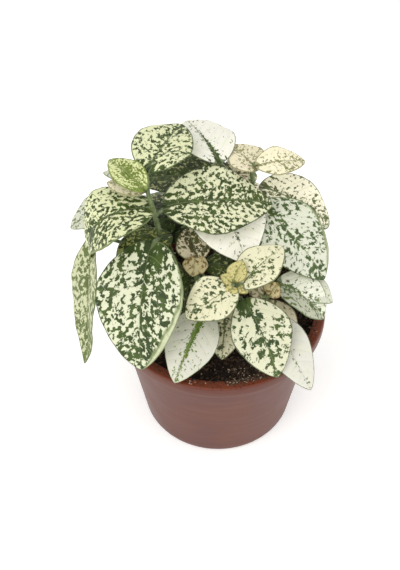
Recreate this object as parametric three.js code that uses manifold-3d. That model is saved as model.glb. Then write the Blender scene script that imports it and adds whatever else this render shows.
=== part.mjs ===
import * as THREE from "three";
import { mergeVertices } from "three/addons/utils/BufferGeometryUtils.js";
import Module from "manifold-3d";

// A polka dot plant in a round plastic nursery pot, in millimetres, +Z up.
// The origin is the middle of the pot's underside, and the plant's open front faces -Y.

const wasm = await Module();
wasm.setup();

// The pot
const rimRadius = 50;
const potHeight = 70;
const ledgeWidth = 5.2;
const lipDrop = 6;
const lipStep = 3.2;
const lipSlope = 0.6;
const rimBevel = 0.7;
const ledgeDish = 0.2;
const ledgeBevel = 0.8;
const bandDepth = 4;
const footRadius = 36.6;
const footBevel = 2;
const wallThickness = 1.4;
const floorThickness = 2.2;
const roundSides = 48;
const drainCount = 6;
const drainRadius = 3.4;
const drainCircle = 24;
const drainDepth = 1.3;
const drainSides = 12;
const cutterHeight = 4;

// The soil
const soilEdgeHeight = 63;
const soilMound = 2.2;
const soilLumps = 0.7;
const soilRings = 4;
const fitGap = 0.3;
const broadLump = { alongX: 0.31, startX: 1.3, alongY: 0.27, startY: -0.4 };
const smallLump = { size: 0.5, alongX: 0.6, alongY: -0.5 };
const holeSides = 8;
const holeHeight = 60;

// The leaves and what carries them
const bladeThickness = 0.7;
const youngLeafWidth = 14;
const leastHalfWidth = 0.5;
const marginWave = 0.028;
const wavesAlongLeaf = 1.6;
const baseLobe = 0.1;
const stemRadius = 1.6;
const stemTipRadius = 1.1;
const petioleRadius = 0.85;
const veinRadius = 0.6;
const holeGap = 0.35;
const rootDepth = 22;
const stalkBend = 0.3;
const outlineLean = 0.7;
const outlineBluntness = 0.72;
const leastOutline = 0.04;
const hookStart = 0.75;
const otherSideWave = 2.1;
const lobeReach = 0.25;
const turnStep = 0.618;
const stalkFall = 0.55;
const stalkUnderBlade = 0.02;
const ridgeReach = 0.15;
const youngRidgeReach = 0.3;
const ridgeSink = 0.3;
const stalkSides = 4;
const stemSides = 6;
const stemSteps = 7;
const jointSteps = 60;

// Each stem runs through its points from the soil to its youngest leaves.
// Each of its leaves has the foot and the tip of its blade, its width, the roll about its length
// in degrees, the rise of its arch, the fold of its halves in degrees, and the hook of its tip.
const stems = {
  stem_left: {
    path: [[-22, 5, 67], [-24, 7, 82], [-26, 9, 100], [-29, 10, 120], [-32, 10, 136]],
    leaves: [
      [[-31, 21, 139], [-17, 51, 136], 28, 0, 2, 8, 0],
      [[-34, 9, 138], [-49, 26, 138], 15, -6, 2, 12, 0],
      [[-34, 10, 135], [-50, 20, 130], 12, -5, 1, 12, 0],
      [[-35, 18, 133], [-52, 25, 131], 10, 0, 1, 12, 0],
      [[-32.5, 9, 125.5], [-59, 2, 101.5], 33, -1, 12, 6, 2],
      [[-21, 13, 123], [24, 21, 115], 36, 12, 4, 5, 0],
      [[-31, -6.5, 114], [-34.5, -44.5, 78], 40.5, 11, 8, 14, -1],
      [[-24.5, 11.5, 104.5], [-46.5, -5.5, 92], 22, 5, 6, 8, 0],
      [[-57, 2.5, 106.5], [-59, -29, 62], 28, 59, 2, 14, -3],
      [[-48, 24, 111], [-68, 17, 103], 22, 8, 2, 8, 0],
      [[-29, 3, 88], [-41, -8, 83], 17, 0, 3, 8, 0],
      [[-30, -10, 84], [-39, -28, 76], 18, 0, 3, 8, 0],
      [[-24, 17, 96], [-14, 34, 97], 22, 0, 3, 8, 0],
      [[-27, 14, 100], [-30, 31, 100], 17, 0, 2, 8, 0],
    ],
  },
  stem_back: {
    path: [[2, 10, 67], [2, 20, 84], [2, 30, 104], [2, 39, 121]],
    leaves: [
      [[-1, 35, 130], [-15, 62, 128], 28, 8, 2, 10, 0],
      [[-1, 26, 112], [12, -4, 103], 35, 0, 4, 4, 0],
      [[3, 41, 113], [-40, 40.5, 110.5], 29, 0, 2, 8, 0],
      [[3.5, 43, 110], [18, 46, 108], 22, 0, 2, 8, 0],
      [[-6, 40, 96], [-17, 56, 88], 20, 0, 3, 8, 0],
    ],
  },
  stem_right: {
    path: [[12, 10, 67], [14, 20, 84], [15.5, 33, 108], [14.5, 36, 126]],
    leaves: [
      [[16.5, 32, 127], [5.5, 45.5, 128], 18, 0, 1, 8, 0],
      [[18, 31, 130], [39, 37, 126], 16, 10, 2, 10, 0],
      [[22, 38, 108], [52, 30, 93], 26, 15, 3, 8, 0],
      [[20, 24, 109], [48, -1, 88], 33, 6, 5, 6, 0],
    ],
  },
  stem_front: {
    path: [[5, -6, 67], [6, -10, 80], [6, -15, 95], [6, -19, 107]],
    leaves: [
      [[6, -19, 109], [10, -12, 114], 10, 0, 1, 10, 0],
      [[5, -20, 108], [0, -18, 111], 7, 0, 1, 10, 0],
      [[6, -22, 108], [3, -26, 107], 7, 0, 1, 10, 0],
      [[8, -21, 107], [12, -24, 106], 7, 0, 1, 10, 0],
      [[10, -20, 108], [28, -2, 112], 21, 0, 2, 8, 0],
      [[5, -23, 108], [-15, -34, 101], 23, -8, 2, 8, 0],
      [[12, -25, 99], [25.5, -48, 77], 28, 4, 4, 7, 0],
    ],
  },
  stem_side: {
    path: [[15, -4, 67], [18, -9, 78], [20, -14, 88], [21, -17, 95]],
    leaves: [
      [[22, -17, 96], [26, -13, 100], 10, 0, 1, 10, 0],
      [[19, -17, 96], [12, -14, 98], 9, 0, 1, 10, 0],
      [[28, -6, 91], [48, -14, 76], 25, 0, 3, 20, 0],
      [[22, -22, 86], [40.5, -50, 70], 21, 10, 3, 8, 0],
      [[36, -1, 86], [52, -8, 80], 16, 0, 2, 8, 0],
      [[22, -15, 87], [32, -31, 73], 19, 0, 2, 8, 0],
    ],
  },
  stem_shaded: {
    path: [[-8, -5, 67], [-9, -5, 78], [-10, -4, 88], [-11, -3, 98]],
    leaves: [
      [[-11, 1, 101], [-12, -7, 97], 11, 0, 1, 6, 0],
      [[-10, -2, 99], [-5, -2, 99], 11, 0, 1, 6, 0],
      [[-7, -23, 90], [-20, -49, 74], 24, -6, 3, 8, 0],
      [[3, -16, 82], [1, -37, 75], 18, 0, 2, 8, 0],
      [[-10, 3, 98], [-15, 17, 103], 17, 0, 2, 8, 0],
      [[-6, 4, 93], [8, 3, 92], 14, 0, 1, 8, 0],
      [[-12, 4, 88], [-17, -17, 80], 20, 0, 2, 8, 0],
    ],
  },
  stem_far_left: {
    path: [[-14, 14, 67], [-20, 20, 75], [-28, 27, 85], [-35, 32, 94]],
    leaves: [
      [[-40, 34, 89], [-60, 44, 79], 26, 0, 4, 8, 0],
      [[-30, 42, 88], [-36, 62, 76], 26, 0, 4, 8, 0],
      [[-36, 33, 95], [-48, 35, 94], 13, 0, 1, 10, 0],
      [[-35, 33, 95], [-27, 42, 94], 13, 0, 1, 10, 0],
      [[-34, 31, 84], [-55, 46, 80], 20, 0, 3, 8, 0],
    ],
  },
  stem_far: {
    path: [[0, 20, 67], [1, 28, 77], [2, 35, 88], [2, 41, 99]],
    leaves: [
      [[2, 46, 90], [4, 67, 78], 26, 0, 4, 8, 0],
      [[10, 42, 84], [22, 60, 75], 20, 0, 4, 8, 0],
      [[-7, 40, 82], [-15, 60, 74], 24, 0, 4, 8, 0],
      [[2, 42, 100], [-9, 49, 100], 13, 0, 1, 10, 0],
      [[3, 42, 100], [13, 48, 99], 13, 0, 1, 10, 0],
      [[8, 45, 95], [20, 60, 88], 20, 0, 3, 8, 0],
    ],
  },
  stem_far_right: {
    path: [[13, 19, 67], [19, 25, 75], [24, 31, 83], [27, 36, 90]],
    leaves: [
      [[36, 36, 86], [52, 46, 78], 24, 0, 4, 8, 0],
      [[32, 44, 84], [38, 63, 76], 22, 0, 4, 8, 0],
      [[28, 37, 91], [39, 40, 91], 13, 0, 1, 10, 0],
      [[27, 37, 91], [22, 46, 90], 12, 0, 1, 10, 0],
      [[32, 24, 82], [48, 26, 75], 20, 0, 3, 8, 0],
    ],
  },
};

const potMaterial = new THREE.MeshStandardMaterial({
  color: 0x86584b,
  roughness: 0.55,
  metalness: 0,
});
const soilMaterial = new THREE.MeshStandardMaterial({
  color: 0x1e1512,
  roughness: 1,
  metalness: 0,
});
const leafMaterial = new THREE.MeshStandardMaterial({
  color: 0xb9bf92,
  roughness: 0.6,
  metalness: 0,
});

const vec = (p) => new THREE.Vector3(p[0], p[1], p[2]);
const rad = THREE.MathUtils.degToRad;
const up = new THREE.Vector3(0, 0, 1);
const firstSide = new THREE.Vector3(0.31, 0.95, 0.05);

// A closed solid of the triangles between numbered points.
function solidOf(points, triangles) {
  const geometry = new THREE.BufferGeometry();
  const flat = points.flatMap((p) => [p.x, p.y, p.z]);
  geometry.setAttribute("position", new THREE.Float32BufferAttribute(flat, 3));
  geometry.setIndex(triangles.flat());
  return solidFromGeometry(geometry);
}

function solidFromGeometry(source) {
  const geometry = source.clone();
  geometry.deleteAttribute("normal");
  geometry.deleteAttribute("uv");
  const merged = mergeVertices(geometry, 1e-4);
  const mesh = new wasm.Mesh({
    numProp: 3,
    vertProperties: merged.attributes.position.array,
    triVerts: new Uint32Array(merged.index.array),
  });
  return new wasm.Manifold(mesh);
}

// The solid as a mesh whose own origin is at the given place.
function meshOf(name, solid, material, place = new THREE.Vector3()) {
  const found = solid.getMesh();
  const positions = new Float32Array(found.numVert * 3);
  for (let i = 0; i < found.numVert; i++) {
    const row = found.vertProperties.subarray(i * found.numProp, i * found.numProp + 3);
    positions.set(row, i * 3);
  }
  const geometry = new THREE.BufferGeometry();
  geometry.setAttribute("position", new THREE.BufferAttribute(positions, 3));
  geometry.setIndex(new THREE.BufferAttribute(found.triVerts, 1));
  geometry.translate(-place.x, -place.y, -place.z);
  geometry.computeVertexNormals();
  const mesh = new THREE.Mesh(geometry, material);
  mesh.name = name;
  mesh.position.copy(place);
  return mesh;
}

// A profile of radius and height turned round the upright axis.
function turned(profile) {
  const points = profile.map((p) => new THREE.Vector2(p[0], p[1]));
  const lathe = new THREE.LatheGeometry(points, roundSides);
  lathe.rotateX(Math.PI / 2);
  return lathe;
}

// A tube with closed ends through the points, with a radius at each.
function tube(points, radii, sides) {
  const rings = [];
  let side = null;
  points.forEach((p, i) => {
    const before = points[Math.max(i - 1, 0)];
    const after = points[Math.min(i + 1, points.length - 1)];
    const along = after.clone().sub(before).normalize();
    if (!side) side = firstSide;
    side = side.clone().addScaledVector(along, -side.dot(along)).normalize();
    const other = along.clone().cross(side);
    for (let k = 0; k < sides; k++) {
      const angle = (2 * Math.PI * k) / sides;
      const q = p.clone().addScaledVector(side, radii[i] * Math.cos(angle));
      q.addScaledVector(other, radii[i] * Math.sin(angle));
      rings.push(q);
    }
  });
  const triangles = [];
  for (let i = 0; i < points.length - 1; i++) {
    for (let k = 0; k < sides; k++) {
      const a = i * sides + k;
      const b = i * sides + ((k + 1) % sides);
      triangles.push([a, b, b + sides], [a, b + sides, a + sides]);
    }
  }
  const last = (points.length - 1) * sides;
  for (let k = 1; k < sides - 1; k++) {
    triangles.push([0, k + 1, k], [last, last + k, last + k + 1]);
  }
  return solidOf(rings, triangles);
}

// The share of its greatest half width that a leaf has at a share of its length.
function outline(t) {
  return Math.sin(Math.PI * Math.min(t, 1) ** outlineLean) ** outlineBluntness;
}

// The middle of the blade at a share of its length, and its directions there.
function spine(leaf, t) {
  const [foot, tip, , roll, arch, , hook] = leaf;
  const start = vec(foot);
  const reach = vec(tip).sub(start);
  const length = reach.length();
  const along = reach.clone().normalize();
  const flat = up.clone().addScaledVector(along, -up.dot(along)).normalize();
  const face = flat.clone().multiplyScalar(Math.cos(rad(roll)));
  face.addScaledVector(along.clone().cross(flat), Math.sin(rad(roll)));
  const side = along.clone().cross(face);
  const end = Math.max(0, (t - hookStart) / (1 - hookStart));
  const rise = arch * 4 * t * (1 - t) - hook * end * end;
  const point = start.addScaledVector(along, length * t).addScaledVector(face, rise);
  const slope = arch * 4 * (1 - 2 * t) - (hook * 2 * end) / (1 - hookStart);
  const ahead = along.clone().multiplyScalar(length).addScaledVector(face, slope);
  ahead.normalize();
  const normal = side.clone().cross(ahead).negate().normalize();
  if (normal.dot(face) < 0) normal.negate();
  return { point, ahead, side, normal, length };
}

// A point of the blade's middle surface: t along it, v from -1 to 1 across it.
function bladePoint(leaf, t, v, turn) {
  const { point, ahead, side, normal, length } = spine(leaf, t);
  const [, , width, , , fold] = leaf;
  const half = Math.max((width / 2) * Math.max(outline(t), leastOutline), leastHalfWidth);
  const a = Math.abs(v);
  const phase = 2 * Math.PI * (wavesAlongLeaf * t + turn) + (v > 0 ? 0 : otherSideWave);
  const wave = marginWave * width * Math.sin(phase) * a * a * Math.min(1, (2 * half) / width);
  const curl = (a * a * half) / (width / 2);
  const rise = a * half * Math.sin(rad(fold)) - curl + wave;
  const lobe = baseLobe * length * Math.max(0, 1 - t / lobeReach) ** 2;
  point.addScaledVector(side, v * half * Math.cos(rad(fold)));
  point.addScaledVector(normal, rise);
  point.addScaledVector(ahead, -lobe * a);
  return { point, normal };
}

// The blade, with its two faces split into triangles alike.
function blade(leaf, turn) {
  const young = leaf[2] <= youngLeafWidth;
  const rows = young ? 4 : 6;
  const columns = young ? 2 : 4;
  const across = columns + 1;
  const topFace = [];
  const underFace = [];
  for (let i = 0; i <= rows; i++) {
    for (let j = 0; j <= columns; j++) {
      const { point, normal } = bladePoint(leaf, i / rows, (2 * j) / columns - 1, turn);
      topFace.push(point.clone().addScaledVector(normal, bladeThickness / 2));
      underFace.push(point.clone().addScaledVector(normal, -bladeThickness / 2));
    }
  }
  const count = topFace.length;
  const triangles = [];
  for (let i = 0; i < rows; i++) {
    for (let j = 0; j < columns; j++) {
      const a = i * across + j;
      const b = a + across;
      const c = b + 1;
      const d = a + 1;
      triangles.push([a, c, b], [a, d, c]);
      triangles.push([a + count, b + count, c + count], [a + count, c + count, d + count]);
    }
  }
  const border = [];
  for (let j = 0; j < columns; j++) border.push(j);
  for (let i = 0; i < rows; i++) border.push(i * across + columns);
  for (let j = columns; j > 0; j--) border.push(rows * across + j);
  for (let i = rows; i > 0; i--) border.push(i * across);
  border.forEach((a, k) => {
    const b = border[(k + 1) % border.length];
    triangles.push([a, b + count, b], [a, a + count, b + count]);
  });
  return solidOf([...topFace, ...underFace], triangles);
}

// The leaf stalk, from the stem to the blade and on under it as the midrib.
function stalk(leaf, curve) {
  const foot = spine(leaf, 0);
  const heights = curve.getPoints(jointSteps);
  const spread = heights.map((p) => {
    const away = Math.hypot(foot.point.x - p.x, foot.point.y - p.y);
    return Math.abs(foot.point.z - stalkFall * away - p.z);
  });
  const joint = heights[spread.indexOf(Math.min(...spread))];
  const gap = foot.point.distanceTo(joint);
  const bend = foot.point.clone().addScaledVector(foot.ahead, -stalkBend * gap);
  const drop = (t, radius) => {
    const at = spine(leaf, t);
    return at.point.addScaledVector(at.normal, ridgeSink - bladeThickness / 2 - radius);
  };
  const young = leaf[2] <= youngLeafWidth;
  const radius = young ? veinRadius : petioleRadius;
  const start = drop(stalkUnderBlade, radius);
  const rise = new THREE.QuadraticBezierCurve3(joint, bend, start);
  const points = rise.getPoints(young ? 1 : 3);
  const radii = points.map(() => radius);
  points.push(drop(young ? youngRidgeReach : ridgeReach, veinRadius));
  radii.push(veinRadius);
  return tube(points, radii, stalkSides);
}

function leafyStem(name, path, leaves, number) {
  const points = path.map(vec);
  const curve = new THREE.CatmullRomCurve3(points);
  const steps = curve.getPoints(stemSteps);
  const root = steps[0].clone();
  root.z -= rootDepth;
  const line = [root, ...steps];
  const radii = line.map((p, i) => {
    const share = Math.max(i - 1, 0) / (line.length - 2);
    return stemRadius + (stemTipRadius - stemRadius) * share;
  });
  let solid = tube(line, radii, stemSides);
  leaves.forEach((leaf, i) => {
    const turn = (turnStep * (i + 3 * number)) % 1;
    solid = solid.add(blade(leaf, turn)).add(stalk(leaf, curve));
  });
  return meshOf(name, solid, leafMaterial, root);
}

// The pot: a straight taper with a bevelled foot, under a rim band with a flat ledge.
const lipHeight = potHeight - lipDrop;
const bandFoot = lipHeight - bandDepth;
const innerRimHeight = potHeight - ledgeDish - ledgeBevel;

function potWallRadius(height) {
  const share = (height - footBevel) / (lipHeight - footBevel);
  return footRadius + (rimRadius - lipStep - footRadius) * share;
}

// The inner radius: along the body, then out to the rim.
function innerRadius(height) {
  const body = potWallRadius(Math.min(height, bandFoot)) - wallThickness;
  const share = Math.max(0, height - bandFoot) / (innerRimHeight - bandFoot);
  return body + (rimRadius - ledgeWidth - body) * share;
}

function potSolid() {
  const profile = [
    [0, 0],
    [footRadius - footBevel, 0],
    [footRadius, footBevel],
    [rimRadius - lipStep, lipHeight],
    [rimRadius, lipHeight + lipSlope],
    [rimRadius, potHeight - rimBevel],
    [rimRadius - rimBevel, potHeight],
    [rimRadius - ledgeWidth + ledgeBevel, potHeight - ledgeDish],
    [innerRadius(innerRimHeight), innerRimHeight],
    [innerRadius(bandFoot), bandFoot],
    [innerRadius(floorThickness), floorThickness],
    [0, floorThickness],
  ];
  let solid = solidFromGeometry(turned(profile));
  for (let k = 0; k < drainCount; k++) {
    const well = new THREE.CylinderGeometry(drainRadius, drainRadius, cutterHeight, drainSides);
    well.rotateX(Math.PI / 2);
    const angle = (2 * Math.PI * (k + 0.5)) / drainCount;
    const x = drainCircle * Math.cos(angle);
    const y = drainCircle * Math.sin(angle);
    well.translate(x, y, drainDepth - cutterHeight / 2);
    solid = solid.subtract(solidFromGeometry(well));
  }
  return solid;
}

// How far the soil's top stands over its plain mound, from -1.5 to 1.5.
function lumpAt(x, y) {
  const { alongX, startX, alongY, startY } = broadLump;
  const broad = Math.sin(alongX * x + startX) * Math.cos(alongY * y + startY);
  return broad + smallLump.size * Math.sin(smallLump.alongX * x + smallLump.alongY * y);
}

// The soil: a close fill with a low lumpy mound, and a plain hole for each stem.
function soilSolid() {
  const foot = floorThickness + fitGap;
  const edge = innerRadius(soilEdgeHeight) - fitGap;
  const profile = [
    [0, foot],
    [innerRadius(foot) - fitGap, foot],
    [innerRadius(bandFoot) - fitGap, bandFoot],
    [edge, soilEdgeHeight],
  ];
  for (let k = soilRings - 1; k >= 0; k--) {
    const share = k / soilRings;
    profile.push([edge * share, soilEdgeHeight + soilMound * (1 - share * share)]);
  }
  const lathe = turned(profile);
  const place = lathe.attributes.position;
  for (let i = 0; i < place.count; i++) {
    const x = place.getX(i);
    const y = place.getY(i);
    const z = place.getZ(i);
    const fade = Math.max(0, 1 - Math.hypot(x, y) / edge) ** 0.5;
    if (z > bandFoot + fitGap) place.setZ(i, z + soilLumps * lumpAt(x, y) * fade);
  }
  let solid = solidFromGeometry(lathe);
  Object.values(stems).forEach(({ path }) => {
    const [x, y, start] = path[0];
    const size = (stemRadius + holeGap) / Math.cos(Math.PI / holeSides);
    const hole = new THREE.CylinderGeometry(size, size, holeHeight, holeSides);
    hole.rotateX(Math.PI / 2);
    hole.translate(x, y, start - rootDepth - holeGap + holeHeight / 2);
    solid = solid.subtract(solidFromGeometry(hole));
  });
  return solid;
}

const plant = new THREE.Group();
plant.add(meshOf("pot", potSolid(), potMaterial));
plant.add(meshOf("soil", soilSolid(), soilMaterial));
const foliage = new THREE.Group();
Object.entries(stems).forEach(([name, { path, leaves }], number) => {
  foliage.add(leafyStem(name, path, leaves, number));
});
plant.add(foliage);

export default plant;
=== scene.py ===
import math
import bpy
import bmesh
import numpy as np
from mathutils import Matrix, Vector, noise


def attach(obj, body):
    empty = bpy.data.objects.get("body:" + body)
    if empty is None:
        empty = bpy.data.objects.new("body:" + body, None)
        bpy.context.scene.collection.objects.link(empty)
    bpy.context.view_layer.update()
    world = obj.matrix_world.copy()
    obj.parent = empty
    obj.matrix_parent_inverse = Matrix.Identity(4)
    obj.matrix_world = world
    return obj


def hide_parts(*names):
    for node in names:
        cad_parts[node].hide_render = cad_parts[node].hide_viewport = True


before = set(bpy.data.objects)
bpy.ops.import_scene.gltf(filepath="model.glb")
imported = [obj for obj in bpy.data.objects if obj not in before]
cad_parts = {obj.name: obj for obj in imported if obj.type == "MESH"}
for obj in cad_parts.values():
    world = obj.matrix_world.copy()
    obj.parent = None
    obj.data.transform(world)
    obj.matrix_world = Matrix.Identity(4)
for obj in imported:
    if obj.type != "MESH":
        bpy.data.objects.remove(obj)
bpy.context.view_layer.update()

mm = 0.001


# small helpers for node trees

# sRGB 0 to 255 as a linear colour with alpha
def linear(colour):
    parts = [c / 255 for c in colour]
    return tuple(c / 12.92 if c < 0.04045 else ((c + 0.055) / 1.055) ** 2.4 for c in parts) + (1.0,)


# a value or a link for each input that is named or numbered
def feed(tree, node, feeds):
    for key, value in feeds.items():
        if isinstance(value, bpy.types.NodeSocket):
            tree.links.new(value, node.inputs[key])
        else:
            node.inputs[key].default_value = value


def addNode(tree, kind, feeds={}, **settings):
    node = tree.nodes.new(kind)
    for key, value in settings.items():
        setattr(node, key, value)
    feed(tree, node, feeds)
    return node


def calc(tree, operation, a, b=0.0):
    return addNode(tree, "ShaderNodeMath", {0: a, 1: b}, operation=operation).outputs[0]


def times(tree, a, b):
    return calc(tree, "MULTIPLY", a, b)


def plus(tree, a, b):
    return calc(tree, "ADD", a, b)


def minus(tree, a, b):
    return calc(tree, "SUBTRACT", a, b)


def smooth(tree, value, low, high, start=0.0, end=1.0):
    feeds = dict(enumerate((value, low, high, start, end)))
    return addNode(tree, "ShaderNodeMapRange", feeds, interpolation_type="SMOOTHSTEP").outputs[0]


def cloud(tree, vector, scale, detail=2.0, roughness=0.5, distortion=0.0):
    return addNode(tree, "ShaderNodeTexNoise", {
        "Vector": vector, "Scale": scale, "Detail": detail, "Roughness": roughness, "Distortion": distortion,
    }).outputs[0]


# a mix of two colours, each a socket or sRGB 0 to 255
def mixed(tree, share, a, b):
    a, b = (c if isinstance(c, bpy.types.NodeSocket) else linear(c) for c in (a, b))
    return addNode(tree, "ShaderNodeMix", {0: share, 6: a, 7: b}, data_type="RGBA").outputs[2]


def attribute(tree, name, output="Vector"):
    return addNode(tree, "ShaderNodeAttribute", attribute_name=name).outputs[output]


def split(tree, vector):
    return addNode(tree, "ShaderNodeSeparateXYZ", {0: vector}).outputs


def objectPlace(tree, scale=(1, 1, 1)):
    place = addNode(tree, "ShaderNodeTexCoord").outputs["Object"]
    return addNode(tree, "ShaderNodeMapping", {"Vector": place, "Scale": scale}).outputs[0]


# a new material, with constants for its shader's own sockets
def newMaterial(name, constants):
    material = bpy.data.materials.new(name)
    material.use_nodes = True
    shader = material.node_tree.nodes["Principled BSDF"]
    feed(material.node_tree, shader, constants)
    return material, material.node_tree, shader


def bump(tree, shader, height, strength, distance):
    node = addNode(tree, "ShaderNodeBump", {"Strength": strength, "Distance": distance, "Height": height})
    feed(tree, shader, {"Normal": node.outputs[0]})


# small helpers for geometry node trees

# a tree with a named input for each value, whole or not
def geometryTree(name, inputs):
    tree = bpy.data.node_groups.new(name, "GeometryNodeTree")
    tree.interface.new_socket("Geometry", in_out="INPUT", socket_type="NodeSocketGeometry")
    tree.interface.new_socket("Geometry", in_out="OUTPUT", socket_type="NodeSocketGeometry")
    ids = {}
    for label, value in inputs.items():
        kind = "NodeSocketInt" if isinstance(value, int) else "NodeSocketFloat"
        socket = tree.interface.new_socket(label, in_out="INPUT", socket_type=kind)
        socket.default_value = value
        ids[label] = socket.identifier
    return tree, addNode(tree, "NodeGroupInput").outputs, ids


def randomVector(tree, least, most, seed):
    feeds = {0: least, 1: most, "Seed": seed}
    return addNode(tree, "FunctionNodeRandomValue", feeds, data_type="FLOAT_VECTOR").outputs[0]


def scaleVector(tree, vector, size):
    return addNode(tree, "ShaderNodeVectorMath", {0: vector, "Scale": size}, operation="SCALE").outputs[0]


# the first output of a new geometry node
def geometry(tree, kind, feeds={}, **settings):
    return addNode(tree, "GeometryNode" + kind, feeds, **settings).outputs[0]


# instances made real and given their material
def finished(tree, made, look):
    solid = geometry(tree, "RealizeInstances", {"Geometry": made})
    return geometry(tree, "SetMaterial", {"Geometry": solid, "Material": look})


def joined(tree, parts):
    both = geometry(tree, "JoinGeometry")
    for part in parts:
        tree.links.new(part, both.node.inputs[0])
    return both


# small helpers for meshes and objects

def linked(name, data):
    piece = bpy.data.objects.new(name, data)
    bpy.context.scene.collection.objects.link(piece)
    return piece


def evaluatedMesh(piece):
    return bpy.data.meshes.new_from_object(piece.evaluated_get(bpy.context.evaluated_depsgraph_get()))


# the evaluated result of a geometry node tree on a source, as a plain mesh
def grown(source, tree, ids, values, name):
    modifier = source.modifiers.new("nodes", "NODES")
    modifier.node_group = tree
    for label, value in values.items():
        modifier[ids[label]] = value
    mesh = evaluatedMesh(source)
    mesh.name = name
    bpy.data.objects.remove(source)
    return linked(name, mesh)


def newObject(name, points, faces, looks=(), edges=()):
    mesh = bpy.data.meshes.new(name)
    mesh.from_pydata([tuple(p) for p in points], edges, faces)
    mesh.polygons.foreach_set("use_smooth", [True] * len(mesh.polygons))
    for look in looks:
        mesh.materials.append(look)
    return linked(name, mesh)


# a place at an angle and a distance round Z, from millimetres to metres
def around(angle, radius, height):
    return radius * mm * math.cos(angle), radius * mm * math.sin(angle), height * mm


# a mesh attribute with 1, 3 or 4 values to a point
def setAttribute(mesh, name, values):
    values = np.asarray(values, dtype=np.float32)
    kind, field = {
        1: ("FLOAT", "value"),
        3: ("FLOAT_VECTOR", "vector"),
        4: ("FLOAT_COLOR", "color"),
    }[values.size // len(values)]
    mesh.attributes.new(name, kind, "POINT").data.foreach_set(field, values.ravel())


def settle(piece, node):
    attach(piece, "root")
    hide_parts(node)


# camera, floor and light

studio = {
    "target": (-0.0088, 0.0, 0.083),
    "distance": 0.6,
    "elevation": 50,
    "lens": 82.2,
    "sensorWidth": 36,
    "clipStart": 0.01,
    "floor": (250, 250, 248),
    "floorReach": 20,
    "floorGlow": 0.25,
    "sky": 0.87,
    "lampTarget": (0, 0, 0.08),
    # place, size in metres, power in watts
    "lamps": {
        "keyLamp": ((-0.45, -0.5, 0.9), 0.7, 3.5),
        "frontLamp": ((0.05, -0.62, 0.42), 0.5, 0.45),
        "fillLamp": ((0.7, -0.2, 0.5), 0.9, 1.0),
    },
}


def makeStudio():
    scene = bpy.context.scene
    camera = linked("camera", bpy.data.cameras.new("camera"))
    tilt = math.radians(studio["elevation"])
    away = Vector((0, -math.cos(tilt), math.sin(tilt))) * studio["distance"]
    camera.location = Vector(studio["target"]) + away
    camera.rotation_euler = (math.pi / 2 - tilt, 0, 0)
    camera.data.lens = studio["lens"]
    camera.data.sensor_width = studio["sensorWidth"]
    camera.data.clip_start = studio["clipStart"]
    scene.camera = camera

    far = studio["floorReach"]
    corners = [(-far, -far, 0), (far, -far, 0), (far, far, 0), (-far, far, 0)]
    material, tree, shader = newMaterial("paleFloor", {
        "Base Color": linear(studio["floor"]),
        "Roughness": 0.9,
        "Specular IOR Level": 0.1,
        "Emission Color": (1, 1, 1, 1),
        "Emission Strength": studio["floorGlow"],
    })
    newObject("floor", corners, [(0, 1, 2, 3)], [material])

    world = bpy.data.worlds.new("studio")
    world.use_nodes = True
    sky = world.node_tree.nodes["Background"]
    sky.inputs["Color"].default_value = (1, 1, 1, 1)
    sky.inputs["Strength"].default_value = studio["sky"]
    scene.world = world
    scene.view_settings.view_transform = "Standard"

    for name, (place, size, power) in studio["lamps"].items():
        lamp = linked(name, bpy.data.lights.new(name, "AREA"))
        lamp.data.shape = "DISK"
        lamp.data.size = size
        lamp.data.energy = power
        lamp.location = place
        aim = Vector(studio["lampTarget"]) - Vector(place)
        lamp.rotation_euler = aim.to_track_quat("-Z", "Y").to_euler()


makeStudio()
print("studio ready")


# the pot

pot = {
    "rimRadius": 50,
    "height": 70,
    "ledgeWidth": 5.2,
    "lipDrop": 6,
    "lipStep": 3.2,
    "footRadius": 36.6,
    "footBevel": 2,
    "bandInside": 4,      # how far under the lip the inside starts to widen
    "wall": 1.4,
    "floor": 2.2,
    "segments": 160,
    "drainCount": 6,
    "drainRadius": 3.4,
    "drainCircle": 24,
    "drainDepth": 1.3,
    "plastic": (90, 42, 30),
    "plasticWorn": (102, 59, 46),
    # the rim's top in its own redder tone: painted reflection of the dark plant above it
    "ledge": (112, 54, 34),
    # pale bloom on the side: part dust, part painted sheen of the pale room
    "dustAndSheen": (140, 108, 96),
    "stain": (46, 30, 24),
    "lipHighlights": (64.2, 60.6),   # heights of two faint pale lines round the side: painted highlights where the lip's lower edge catches the light
}


def potWall(height):
    share = (height - pot["footBevel"]) / (pot["height"] - pot["lipDrop"] - pot["footBevel"])
    return pot["footRadius"] + (pot["rimRadius"] - pot["lipStep"] - pot["footRadius"]) * share


# inner radius of the pot: along the body, then out to the rim
def innerWall(height):
    band = pot["height"] - pot["lipDrop"] - pot["bandInside"]
    body = potWall(min(height, band)) - pot["wall"]
    share = max(0, height - band) / (pot["height"] - 1 - band)
    return body + (pot["rimRadius"] - pot["ledgeWidth"] - body) * share


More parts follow.
